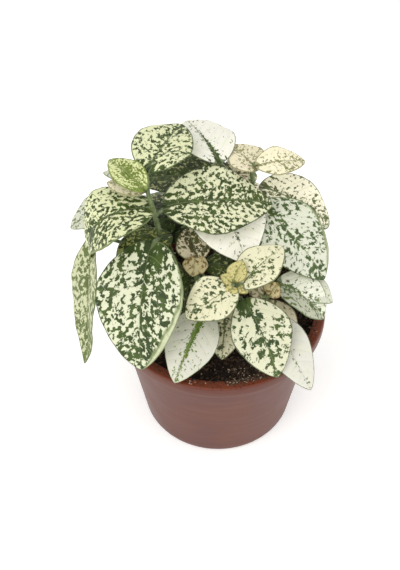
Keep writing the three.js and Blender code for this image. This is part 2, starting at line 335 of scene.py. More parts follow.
# radius and height, from the middle of the underside round to the middle of the floor
def potProfile():
    rim = pot["rimRadius"]
    lip = pot["height"] - pot["lipDrop"]
    foot = pot["footRadius"]
    bevel = pot["footBevel"]
    top = pot["height"]
    inner = rim - pot["ledgeWidth"]
    points = [(0, 0.45), (12, 0.45), (30, 0.4), (31.2, 0.1), (31.8, 0), (foot - bevel, 0)]
    for k in range(1, 6):  # bevelled foot
        angle = math.pi / 2 * k / 6
        points.append((foot - bevel + bevel * math.sin(angle), bevel - bevel * math.cos(angle)))
    for k in range(1, 26):  # straight side, a hair's breadth hollow
        height = bevel + (lip - bevel - 0.4) * k / 26
        points.append((potWall(height) - 0.12 * math.sin(math.pi * k / 26), height))
    neck = potWall(lip)
    points += [(neck - 0.02, lip - 0.5), (neck + 0.1, lip - 0.1), (neck + 0.5, lip + 0.1),
               (rim - 0.5, lip + 0.2), (rim - 0.12, lip + 0.35), (rim, lip + 0.7)]
    points += [(rim, top - 1.1), (rim - 0.08, top - 0.6), (rim - 0.3, top - 0.22),
               (rim - 0.62, top - 0.03), (rim - 1.1, top), (inner + 0.9, top - 0.12),
               (inner + 0.45, top - 0.25), (inner + 0.12, top - 0.6), (inner, top - 1.2)]
    points += [(innerWall(height), height) for height in (67, 64, 60, 40, 20, 4)]
    points += [(innerWall(pot["floor"]) - 1, pot["floor"]), (0, pot["floor"])]
    return points


# faces over rings of points between two poles, which look outwards when the first pole is the lower one
def ringFaces(rings, count, flip=False):
    faces = []
    last = 1 + (rings - 1) * count
    for k in range(count):
        after = (k + 1) % count
        faces.append((0, 1 + after, 1 + k))
        for low in range(1, last, count):
            faces.append((low + k, low + after, low + count + after, low + count + k))
        faces.append((last + k, last + after, last + count))
    return [face[:1] + face[:0:-1] for face in faces] if flip else faces


# points and faces of a profile turned round Z, closed at both poles
def lathe(profile, count):
    points = [around(0, *profile[0])]
    for ring in profile[1:-1]:
        points += [around(2 * math.pi * k / count, *ring) for k in range(count)]
    return points + [around(0, *profile[-1])], ringFaces(len(profile) - 2, count)


def potMaterial():
    material, tree, shader = newMaterial("mouldedPlastic", {"Specular IOR Level": 0.3})
    place = objectPlace(tree)
    height = split(tree, place)[2]
    clouds = cloud(tree, place, 38, 4, 0.6, 0.4)
    streaks = cloud(tree, objectPlace(tree, (0.1, 0.1, 1)), 420, 3, 0.6)
    grain = cloud(tree, place, 2600, 2, 0.5)
    scuffs = smooth(tree, cloud(tree, objectPlace(tree, (1, 1, 0.35)), 120, 5, 0.72, 1.2), 0.6, 0.74)
    dustAndSheen = pot["dustAndSheen"]
    colour = mixed(tree, smooth(tree, clouds, 0.35, 0.7), pot["plastic"], pot["plasticWorn"])
    # pale streaks and scuffs: dust, and painted sheen on the side
    colour = mixed(tree, smooth(tree, streaks, 0.4, 0.75, 0.0, 0.1), colour, dustAndSheen)
    colour = mixed(tree, times(tree, scuffs, 0.3), colour, dustAndSheen)
    # painted highlights: two pale lines round the side under the lip
    for line in pot["lipHighlights"]:
        near = calc(tree, "ABSOLUTE", minus(tree, height, line * mm))
        colour = mixed(tree, smooth(tree, near, 0.5 * mm, 0.1 * mm, 0.0, 0.35), colour, dustAndSheen)
    # painted reflection: the rim's top gets its own redder tone, the side keeps its pale sheen
    onLedge = smooth(tree, height, (pot["height"] - 0.8) * mm, (pot["height"] - 0.1) * mm)
    colour = mixed(tree, onLedge, colour, pot["ledge"])
    stains = smooth(tree, cloud(tree, place, 900, 3, 0.6), 0.58, 0.66)
    colour = mixed(tree, times(tree, onLedge, stains), colour, pot["stain"])
    rough = plus(tree, smooth(tree, clouds, 0.3, 0.7, 0.4, 0.52), times(tree, scuffs, 0.15))
    feed(tree, shader, {"Base Color": colour, "Roughness": rough})
    relief = plus(tree, times(tree, grain, 0.3), times(tree, streaks, 0.25))
    relief = plus(tree, relief, times(tree, clouds, 1.5))
    bump(tree, shader, relief, 0.35, 0.0002)
    return material


def soilMaterial():
    material, tree, shader = newMaterial("pottingSoil", {"Roughness": 0.95, "Specular IOR Level": 0.25})
    place = objectPlace(tree)
    coarse = cloud(tree, place, 260, 5, 0.7, 0.6)
    fine = cloud(tree, place, 1500, 4, 0.7)
    colour = mixed(tree, smooth(tree, coarse, 0.35, 0.65), soil["wet"], soil["dark"])
    colour = mixed(tree, smooth(tree, fine, 0.56, 0.72), colour, soil["fleck"])
    specks = smooth(tree, cloud(tree, place, 2400, 2, 0.5), 0.7, 0.74)
    colour = mixed(tree, specks, colour, soil["grit"])
    feed(tree, shader, {"Base Color": colour})
    bump(tree, shader, plus(tree, coarse, times(tree, fine, 0.6)), 0.9, 0.0009)
    return material


# the soil

soil = {
    "edgeHeight": 63,
    "mound": 2.2,
    "lumps": 0.9,
    "grains": 0.5,
    "rings": 60,
    "segments": 180,
    "wet": (22, 15, 12),
    "dark": (44, 31, 24),
    "fleck": (122, 95, 72),
    "grit": (190, 176, 156),
    "crumbDensity": 330000.0,
    "crumbSize": 0.62 * mm,
    "gritDensity": 16000.0,
    "fibreDensity": 20000.0,
    "lumpiness": 0.5 * mm,
    "under": 2.6,        # height of its underside
    "spillFibres": 26000.0,
    "spillLumpiness": 0.3 * mm,
    "seed": 4,
    "spillSeed": 9,
    # crumbs spilled on the rim and by it: first and last angle, inner and outer radius,
    # crumbs and pale grit to a square metre, size in millimetres
    "spills": (
        (-150, 40, 45.4, 48.8, 300000.0, 14000.0, 0.42),
        (-86, -58, 44.9, 47.4, 2200000.0, 450000.0, 0.38),
        (-112, -103, 46.0, 48.6, 200000.0, 600000.0, 0.36),
        (-84, -60, 35.0, 43.8, 300000.0, 600000.0, 0.42),
    ),
}

plasticLook = potMaterial()
soilLook = soilMaterial()


def makePot():
    points, faces = lathe(potProfile(), pot["segments"])
    shell = newObject("nurseryPot", points, faces, (plasticLook, soilLook))
    cutter = bmesh.new()
    coneDepth = 4
    for k in range(pot["drainCount"]):
        angle = 2 * math.pi * (k + 0.5) / pot["drainCount"]
        made = bmesh.ops.create_cone(cutter, cap_ends=True, segments=40, depth=coneDepth * mm,
                                     radius1=(pot["drainRadius"] + 0.5) * mm,
                                     radius2=(pot["drainRadius"] - 0.3) * mm)
        middle = around(angle, pot["drainCircle"], pot["drainDepth"] + 0.3 - coneDepth / 2)
        bmesh.ops.translate(cutter, verts=made["verts"], vec=middle)
    mesh = bpy.data.meshes.new("drains")
    cutter.to_mesh(mesh)
    cutter.free()
    drains = linked("drains", mesh)
    cut = shell.modifiers.new("drains", "BOOLEAN")
    cut.operation = "DIFFERENCE"
    cut.solver = "EXACT"
    cut.object = drains
    result = evaluatedMesh(shell)
    shell.modifiers.clear()
    shell.data = result
    bpy.data.objects.remove(drains)
    for face in result.polygons:  # soil shows in the drain holes
        x, y, z = face.center
        nearHole = abs(math.hypot(x, y) / mm - pot["drainCircle"]) < pot["drainRadius"]
        wall = abs(face.normal.z) < 0.8
        face.material_index = 1 if nearHole and not wall and 1.2 * mm < z < 2 * mm else 0
        face.use_smooth = not (nearHole and z < 1.9 * mm)
    settle(shell, "pot")


# height of the soil's top in millimetres at a place in millimetres
def soilHeight(x, y, edge):
    reach = min(1.0, math.hypot(x, y) / edge)
    wide = math.sin(0.31 * x + 1.3) * math.cos(0.27 * y - 0.4) + 0.5 * math.sin(0.6 * x - 0.5 * y)
    rough = noise.fractal(Vector((x * 0.28, y * 0.28, 3.1)), 0.9, 2.1, 5)
    height = soil["edgeHeight"] + soil["mound"] * (1 - reach * reach)
    return height + soil["lumps"] * wide * math.sqrt(max(0, 1 - reach)) + soil["grains"] * rough


def makeSoil():
    edge = innerWall(soil["edgeHeight"]) + 0.1
    count = soil["segments"]
    rings = soil["rings"]
    points = [(0, 0, soilHeight(0, 0, edge) * mm)]
    for ring in range(1, rings + 1):
        radius = edge * ring / rings
        for k in range(count):
            angle = 2 * math.pi * k / count
            x, y = radius * math.cos(angle), radius * math.sin(angle)
            points.append((x * mm, y * mm, soilHeight(x, y, edge) * mm))
    under = innerWall(3) - 0.5, soil["under"]
    points += [around(2 * math.pi * k / count, *under) for k in range(count)]
    points.append(around(0, 0, soil["under"]))
    piece = newObject("soilBed", points, ringFaces(rings + 1, count, flip=True), [soilLook])
    settle(piece, "soil")
    return piece, edge


def crumbMaterial(name, dark, light, roughness):
    material, tree, shader = newMaterial(name, {"Roughness": roughness})
    tone = attribute(tree, "tone", "Fac")
    mottle = cloud(tree, objectPlace(tree), 2200, 3, 0.6)
    colour = mixed(tree, tone, dark, light)
    colour = mixed(tree, smooth(tree, mottle, 0.4, 0.7, 0.0, 0.5), colour, dark)
    feed(tree, shader, {"Base Color": colour})
    bump(tree, shader, mottle, 0.8, 0.0003)
    return material


# crumbs, grit and fibres on the faces that look up
def scatterTree(name, looks):
    tree, given, ids = geometryTree(name, {
        "Crumb density": 1000.0,
        "Grit density": 100.0,
        "Fibre density": 100.0,
        "Crumb size": 0.001,
        "Lumpiness": 0.0004,
        "Seed": 1,
    })
    crumb = geometry(tree, "MeshIcoSphere", {"Radius": 1.0, "Subdivisions": 1})
    fibre = geometry(tree, "MeshCylinder", {"Vertices": 4, "Radius": 0.16, "Depth": 6.0})
    rise = split(tree, geometry(tree, "InputNormal"))[2]
    upward = addNode(tree, "FunctionNodeCompare", {"A": rise, "B": 0.5},
                     data_type="FLOAT", operation="GREATER_THAN")
    tumbled = ((-0.5, -0.5, 0), (0.5, 0.5, 6.28))
    lying = ((1.2, -0.4, 0), (1.9, 0.4, 6.28))
    # look, shape, density, least and most turn, least and most size
    kinds = (("crumbs", crumb, "Crumb density", tumbled, ((0.45, 0.4, 0.3), (1.9, 1.7, 1.2))),
             ("grit", crumb, "Grit density", tumbled, ((0.5, 0.4, 0.4), (1.3, 1.2, 1.0))),
             ("fibres", fibre, "Fibre density", lying, ((0.5, 0.5, 0.3), (1.2, 1.2, 1.1))))
    parts = []
    for number, (kind, shape, density, turns, sizes) in enumerate(kinds):
        seed = plus(tree, given["Seed"], number * 7.0)
        spread = geometry(tree, "DistributePointsOnFaces", {
            "Mesh": given["Geometry"], "Selection": upward.outputs[0],
            "Density": given[density], "Seed": seed})
        turn = randomVector(tree, *turns, seed)
        size = randomVector(tree, *sizes, plus(tree, seed, 1.0))
        placed = geometry(tree, "InstanceOnPoints", {
            "Points": spread, "Instance": shape, "Scale": scaleVector(tree, size, given["Crumb size"]),
            "Rotation": turn})
        tone = addNode(tree, "FunctionNodeRandomValue", {"Seed": plus(tree, seed, 2.0)}, data_type="FLOAT")
        stored = geometry(tree, "StoreNamedAttribute",
                          {"Geometry": placed, "Name": "tone", "Value": tone.outputs[1]},
                          data_type="FLOAT", domain="INSTANCE")
        parts.append(finished(tree, stored, looks[kind]))
    wobble = addNode(tree, "ShaderNodeTexNoise", {"Scale": 1400})
    feeds = {0: wobble.outputs["Color"], 1: (0.5, 0.5, 0.5)}
    centred = addNode(tree, "ShaderNodeVectorMath", feeds, operation="SUBTRACT")
    offset = scaleVector(tree, centred.outputs[0], given["Lumpiness"])
    moved = geometry(tree, "SetPosition", {"Geometry": joined(tree, parts), "Offset": offset})
    addNode(tree, "NodeGroupOutput", {0: moved})
    return tree, ids


# a curved strip on the rim or on the soil, where crumbs lie, between two angles and two radii
def crumbBed(start, end, inner, outer, edge):
    points, faces = [], []
    steps = 60
    for k in range(steps + 1):
        angle = math.radians(start + (end - start) * k / steps)
        for radius in (inner, outer):
            x, y = radius * math.cos(angle), radius * math.sin(angle)
            height = pot["height"] - 0.05 if radius > edge else soilHeight(x, y, edge) + 0.1
            points.append((x * mm, y * mm, height * mm))
    for k in range(steps):
        faces.append((2 * k, 2 * k + 1, 2 * k + 3, 2 * k + 2))
    return newObject("crumbBed", points, faces)


makePot()
print("pot ready")
soilBed, soilEdge = makeSoil()
crumbLooks = {
    "crumbs": crumbMaterial("soilCrumb", (20, 13, 10), (100, 76, 56), 0.95),
    "grit": crumbMaterial("paleGrit", (126, 102, 76), (224, 210, 184), 0.85),
    "fibres": crumbMaterial("barkFibre", (70, 46, 30), (142, 104, 74), 0.9),
}
scatter, scatterIds = scatterTree("soilScatter", crumbLooks)
onSoil = grown(linked("scatterBed", soilBed.data.copy()), scatter, scatterIds, {
    "Crumb density": soil["crumbDensity"],
    "Grit density": soil["gritDensity"],
    "Fibre density": soil["fibreDensity"],
    "Crumb size": soil["crumbSize"],
    "Lumpiness": soil["lumpiness"],
    "Seed": soil["seed"],
}, "soilCrumbs")
settle(onSoil, "soil")
for number, (start, end, inner, outer, crumbs, grit, size) in enumerate(soil["spills"]):
    spill = grown(crumbBed(start, end, inner, outer, soilEdge), scatter, scatterIds, {
        "Crumb density": crumbs,
        "Grit density": grit,
        "Fibre density": soil["spillFibres"],
        "Crumb size": size * mm,
        "Lumpiness": soil["spillLumpiness"],
        "Seed": soil["spillSeed"] + number,
    }, f"spilledCrumbs{number + 1}")
    settle(spill, "soil")
print("soil ready")


# the leaves: each look is a paper-pale ground with green on it

leafBase = {
    "pale": (220, 220, 184),
    "dark": (50, 66, 20),
    "share": 0.5,        # how much of the blade is green
    "feather": 0.06,     # how much greener it is beside the midrib
    "baseGreenAndShade": 0.0,         # how much greener it is near the stalk: in part the leaf's own green, in part painted shade from the leaves above
    "patch": 0.25,       # how unevenly the green lies
    "grain": 0.9,        # how fine the blotches are
    "rib": 0.4,          # width of the green midrib in millimetres
    "ribReach": 0.8,     # how far along the leaf it goes
    "edge": 0.5,         # green line along the margin
    "veins": 1.0,        # how clearly the side veins show
    "quilt": 0.16,       # how far the blade swells between them
    "rim": 0.0,          # width of a pale turned margin on one side, in millimetres
    "shadedHalf": 0.0,         # how much darker one half of the blade is, as painted shade: below zero, the other half
}

leafLooks = {
    "dense": dict(share=0.45, pale=(222, 224, 178), rim=0.7),
    "denseTop": dict(share=0.41, pale=(222, 224, 180)),
    "banded": dict(share=0.46, feather=0.1, rib=0.6, patch=0.2, grain=0.78),
    "lush": dict(share=0.46, feather=0.09, baseGreenAndShade=0.06, rib=0.2, patch=0.3, grain=0.62,
                 rim=3.2, dark=(44, 62, 18), pale=(214, 216, 186)),
    # painted shade: dark copies of the speckled look for leaves deep in the plant's shade
    "dimShaded": dict(share=0.62, pale=(156, 158, 108), dark=(44, 56, 22)),
    "deepShaded": dict(share=0.74, pale=(104, 114, 70), dark=(28, 38, 16)),
    "bronze": dict(share=0.4, pale=(226, 212, 182), dark=(76, 70, 40)),
    "hooked": dict(share=0.49, pale=(198, 200, 160), dark=(92, 104, 52), patch=0.4, veins=1.6,
                   grain=0.62, edge=0.7),
    "lime": dict(share=0.42, pale=(218, 222, 160), dark=(108, 124, 44), grain=1.5, patch=0.4,
                 veins=2.6, quilt=0.42, edge=0.65),
    "sparse": dict(share=0.28, feather=0.12, rib=0.3, pale=(246, 240, 214),
                   dark=(84, 90, 54), veins=1.6),
    "cream": dict(share=0.17, feather=0.08, rib=0.25, pale=(228, 224, 190), dark=(76, 88, 42)),
    "dotted": dict(share=0.29, feather=0.08, rib=0.2, ribReach=0.6, patch=0.2,
                   pale=(226, 222, 188), dark=(66, 80, 38)),
    "veined": dict(share=0.27, feather=0.17, baseGreenAndShade=0.05, rib=0.3, pale=(214, 213, 184),
                   dark=(44, 62, 20), grain=0.7),
    "snow": dict(share=-0.02, feather=0.14, rib=0.6, ribReach=0.6, patch=0.14,
                 pale=(250, 246, 232), edge=0.34),
    "snowBand": dict(share=0.05, feather=0.1, baseGreenAndShade=0.02, rib=1.3, ribReach=0.6, patch=0.1,
                     pale=(236, 234, 220), edge=0.4),
    "greenRib": dict(share=0.05, feather=0.17, baseGreenAndShade=0.04, rib=1.5, ribReach=0.78, patch=0.2,
                     pale=(208, 206, 192), dark=(92, 116, 36), edge=0.25),
    "frost": dict(share=0.4, feather=0.08, rib=0.2, patch=0.3, pale=(214, 216, 196),
                  dark=(62, 82, 40), grain=0.74, rim=1.2),
    "blush": dict(share=0.32, pale=(230, 220, 190), grain=1.2, rib=0.3, dark=(146, 140, 100)),
    "butter": dict(share=0.27, pale=(240, 232, 200), grain=1.1, rib=0.3, dark=(138, 134, 92)),
    "pale": dict(share=0.24, pale=(212, 213, 194), dark=(112, 124, 88), rib=0.2),
    "folded": dict(share=0.18, pale=(230, 230, 212), dark=(84, 100, 54), grain=0.85, feather=0.17,
                   veins=2.4, shadedHalf=0.5),
    "rose": dict(share=0.28, pale=(228, 216, 188), rib=0.3, dark=(116, 108, 70)),
    "tan": dict(share=0.26, pale=(214, 196, 150), dark=(134, 110, 66), rib=0.2, veins=2.0,
                quilt=0.26),
    "young": dict(share=0.26, pale=(200, 190, 126), dark=(132, 122, 60), rib=0.3, grain=1.6,
                  veins=2.0, quilt=0.28),
    "mixed": dict(share=0.42),
    "blank": dict(share=-0.05, feather=0.1, rib=0.3, ribReach=0.5, patch=0.1,
                  pale=(214, 212, 200), edge=0.34),
    "shade": dict(share=0.3, pale=(186, 172, 146), dark=(104, 96, 70), rib=0.3),
    # a yellow-green leaf, made darker still: painted shade from the leaves above it
    "oliveShaded": dict(share=0.56, pale=(170, 172, 96), dark=(56, 70, 24), patch=0.4),
    "airy": dict(share=0.29, pale=(224, 218, 186), dark=(84, 86, 54)),
}

# colours that every leaf shares
leafTones = {
    "underPale": (196, 204, 176),
    "underDark": (150, 168, 130),
    "darkDrift": (100, 122, 48),
    "paleDrift": (206, 214, 160),
    "turned": (176, 184, 136),
    "creaseShade": (104, 120, 62),
    "vein": (190, 204, 150),
}

foliage = {
    "thickness": 0.42,
    "tipHalfWidth": 0.12,
    "hookShare": 0.25,        # how much of the blade bends down with its tip
    "marginWave": 0.028,
    "smallWave": 0.006,
    "wavesAlong": 1.6,
    "waveShift": 2.1,         # of one side's wave against the other's
    "baseLobe": 0.1,
    "lobeReach": 0.25,
    "midribChannel": 0.3,     # depth of the groove above the midrib
    "channelWidth": 0.9,
    "midribRidge": 0.55,      # height of the midrib below
    "ridgeWidth": 0.55,
    "roundedEdge": 0.35,
    "veinPairs": 7,
    "veinLean": 0.5,
    "veinCurve": 0.02,
    "veinStagger": 0.22,      # of one side's veins against the other's
    "blotchLean": 0.22,       # how far the blotches lean along the side veins
    "blotchWidth": 0.92,
    "shadeTint": (0.2, 0.22, 0.13),  # what is left of a colour in a blade's painted-shade half
    "patternStep": 41.3,      # from one leaf's marking to the next
    "rowsPerMillimetre": 1.15,
    "columns": (0, 0.02, 0.05, 0.09, 0.16, 0.25, 0.36, 0.48, 0.6, 0.72, 0.83, 0.915, 0.97, 1),
    "stemRadius": 1.5,
    "stemTipRadius": 0.95,
    "rootDepth": 9,
    "scarSwell": 0.12,
    "stalkRadius": 0.75,
    "youngStalkRadius": 0.55,
    "youngWidth": 14,
    "stalkBend": 0.3,
    "stemSides": 14,
    "hairLength": 0.9 * mm,
    "hairRadius": 0.028 * mm,
    "hairDensity": 900000.0,
    "hairSeed": 11,
    "waveTurn": 0.618,        # from one leaf's margin wave to the next, in turns
    "stemSeed": 13,           # from one stem's leaf markings to the next
}

# each stem has the points that it runs through, from the soil up, and then a row for each leaf: the foot
# and the tip of its blade, its width, roll, arch, fold, tip hook and look, in millimetres and degrees
stems = {
    "stem_left": (
        [(-22, 5, 67), (-24, 7, 82), (-26, 9, 100), (-29, 10, 120), (-32, 10, 136)],
        ((-31, 21, 139), (-17, 51, 136), 28, 0, 2, 8, 0, "denseTop"),
        ((-34, 9, 138), (-49, 26, 138), 15, -6, 2, 12, 0, "lime"),
        ((-34, 10, 135), (-50, 20, 130), 12, -5, 1, 12, 0, "blush"),
        ((-35, 18, 133), (-52, 25, 131), 10, 0, 1, 12, 0, "pale"),
        ((-32.5, 9, 125.5), (-59, 2, 101.5), 33, -1, 12, 6, 2, "dense"),
        ((-21, 13, 123), (24, 21, 115), 36, 12, 4, 5, 0, "banded"),
        ((-31, -6.5, 114), (-34.5, -44.5, 78), 40.5, 11, 8, 14, -1, "lush"),
        ((-24.5, 11.5, 104.5), (-46.5, -5.5, 92), 22, 5, 6, 8, 0, "oliveShaded"),
        ((-57, 2.5, 106.5), (-59, -29, 62), 28, 59, 2, 14, -3, "hooked"),
        ((-48, 24, 111), (-68, 17, 103), 22, 8, 2, 8, 0, "pale"),
        ((-29, 3, 88), (-41, -8, 83), 17, 0, 3, 8, 0, "mixed"),
        ((-30, -10, 84), (-39, -28, 76), 18, 0, 3, 8, 0, "airy"),
        ((-24, 17, 96), (-14, 34, 97), 22, 0, 3, 8, 0, "deepShaded"),
        ((-27, 14, 100), (-30, 31, 100), 17, 0, 2, 8, 0, "deepShaded"),
    ),
    "stem_back": (
        [(2, 10, 67), (2, 20, 84), (2, 30, 104), (2, 39, 121)],
        ((-1, 35, 130), (-15, 62, 128), 28, 8, 2, 10, 0, "snowBand"),
        ((-1, 26, 112), (12, -4, 103), 35, 0, 4, 4, 0, "snow"),
        ((3, 41, 113), (-40, 40.5, 110.5), 29, 0, 2, 8, 0, "dimShaded"),
        ((3.5, 43, 110), (18, 46, 108), 22, 0, 2, 8, 0, "bronze"),
        ((-6, 40, 96), (-17, 56, 88), 20, 0, 3, 8, 0, "mixed"),
    ),
    "stem_right": (
        [(12, 10, 67), (14, 20, 84), (15.5, 33, 108), (14.5, 36, 126)],
        ((16.5, 32, 127), (5.5, 45.5, 128), 18, 0, 1, 8, 0, "blush"),
        ((18, 31, 130), (39, 37, 126), 16, 10, 2, 10, 0, "butter"),
        ((22, 38, 108), (52, 30, 93), 26, 15, 3, 8, 0, "sparse"),
        ((20, 24, 109), (48, -1, 88), 33, 6, 5, 6, 0, "frost"),
    ),
    "stem_front": (
        [(5, -6, 67), (6, -10, 80), (6, -15, 95), (6, -19, 107)],
        ((6, -19, 109), (10, -12, 114), 10, 0, 1, 10, 0, "young"),
        ((5, -20, 108), (0, -18, 111), 7, 0, 1, 10, 0, "young"),
        ((6, -22, 108), (3, -26, 107), 7, 0, 1, 10, 0, "young"),
        ((8, -21, 107), (12, -24, 106), 7, 0, 1, 10, 0, "young"),
        ((10, -20, 108), (28, -2, 112), 21, 0, 2, 8, 0, "cream"),
        ((5, -23, 108), (-15, -34, 101), 23, -8, 2, 8, 0, "dotted"),
        ((12, -25, 99), (25.5, -48, 77), 28, 4, 4, 7, 0, "veined"),
    ),
    "stem_side": (
        [(15, -4, 67), (18, -9, 78), (20, -14, 88), (21, -17, 95)],
        ((22, -17, 96), (26, -13, 100), 10, 0, 1, 10, 0, "tan"),
        ((19, -17, 96), (12, -14, 98), 9, 0, 1, 10, 0, "shade"),
        ((28, -6, 91), (48, -14, 76), 25, 0, 3, 20, 0, "folded"),
        ((22, -22, 86), (40.5, -50, 70), 21, 10, 3, 8, 0, "blank"),
        ((36, -1, 86), (52, -8, 80), 16, 0, 2, 8, 0, "pale"),
        ((22, -15, 87), (32, -31, 73), 19, 0, 2, 8, 0, "rose"),
    ),
    "stem_shaded": (
        [(-8, -5, 67), (-9, -5, 78), (-10, -4, 88), (-11, -3, 98)],
        ((-11, 1, 101), (-12, -7, 97), 11, 0, 1, 6, 0, "tan"),
        ((-10, -2, 99), (-5, -2, 99), 11, 0, 1, 6, 0, "tan"),
        ((-7, -23, 90), (-20, -49, 74), 24, -6, 3, 8, 0, "greenRib"),
        ((3, -16, 82), (1, -37, 75), 18, 0, 2, 8, 0, "airy"),
        ((-10, 3, 98), (-15, 17, 103), 17, 0, 2, 8, 0, "bronze"),
        ((-6, 4, 93), (8, 3, 92), 14, 0, 1, 8, 0, "dimShaded"),
        ((-12, 4, 88), (-17, -17, 80), 20, 0, 2, 8, 0, "dimShaded"),
    ),
    "stem_far_left": (
        [(-14, 14, 67), (-20, 20, 75), (-28, 27, 85), (-35, 32, 94)],
        ((-40, 34, 89), (-60, 44, 79), 26, 0, 4, 8, 0, "dense"),
        ((-30, 42, 88), (-36, 62, 76), 26, 0, 4, 8, 0, "dimShaded"),
        ((-36, 33, 95), (-48, 35, 94), 13, 0, 1, 10, 0, "lime"),
        ((-35, 33, 95), (-27, 42, 94), 13, 0, 1, 10, 0, "deepShaded"),
        ((-34, 31, 84), (-55, 46, 80), 20, 0, 3, 8, 0, "mixed"),
    ),
    "stem_far": (
        [(0, 20, 67), (1, 28, 77), (2, 35, 88), (2, 41, 99)],
        ((2, 46, 90), (4, 67, 78), 26, 0, 4, 8, 0, "veined"),
        ((10, 42, 84), (22, 60, 75), 20, 0, 4, 8, 0, "snow"),
        ((-7, 40, 82), (-15, 60, 74), 24, 0, 4, 8, 0, "dense"),
        ((2, 42, 100), (-9, 49, 100), 13, 0, 1, 10, 0, "lime"),
        ((3, 42, 100), (13, 48, 99), 13, 0, 1, 10, 0, "butter"),
        ((8, 45, 95), (20, 60, 88), 20, 0, 3, 8, 0, "sparse"),
    ),
    "stem_far_right": (
        [(13, 19, 67), (19, 25, 75), (24, 31, 83), (27, 36, 90)],
        ((36, 36, 86), (52, 46, 78), 24, 0, 4, 8, 0, "mixed"),
        ((32, 44, 84), (38, 63, 76), 22, 0, 4, 8, 0, "dotted"),
        ((28, 37, 91), (39, 40, 91), 13, 0, 1, 10, 0, "butter"),
        ((27, 37, 91), (22, 46, 90), 12, 0, 1, 10, 0, "young"),
        ((32, 24, 82), (48, 26, 75), 20, 0, 3, 8, 0, "airy"),
    ),
}


def unit(v):
    return v / np.maximum(np.linalg.norm(v, axis=-1, keepdims=True), 1e-9)


def outline(t):
    return np.sin(np.pi * np.clip(t, 0, 1) ** 0.7) ** 0.72


# middle line of a blade at shares of its length, with its directions, in millimetres
def spine(leaf, t):
    foot, tip, _, roll, arch, _, hook, _ = leaf
    foot, reach = np.array(foot, float), np.subtract(tip, foot).astype(float)
    length = np.linalg.norm(reach)
    along = reach / length
    up = np.array((0.0, 0.0, 1.0))
    flat = unit(up - up.dot(along) * along)
    face = math.cos(math.radians(roll)) * flat + math.sin(math.radians(roll)) * np.cross(along, flat)
    side = np.cross(along, face)
    t = np.atleast_1d(t).astype(float)[:, None]
    hookShare = foliage["hookShare"]
    end = np.maximum(0, (t - 1 + hookShare) / hookShare)
    point = foot + along * length * t + face * (arch * 4 * t * (1 - t) - hook * end ** 2)
    ahead = unit(along * length + face * (arch * 4 * (1 - 2 * t) - hook * 2 * end / hookShare))
    normal = unit(np.cross(ahead, side[None, :]))
    normal = np.where((normal @ face)[:, None] < 0, -normal, normal)
    return point, ahead, side, normal, length


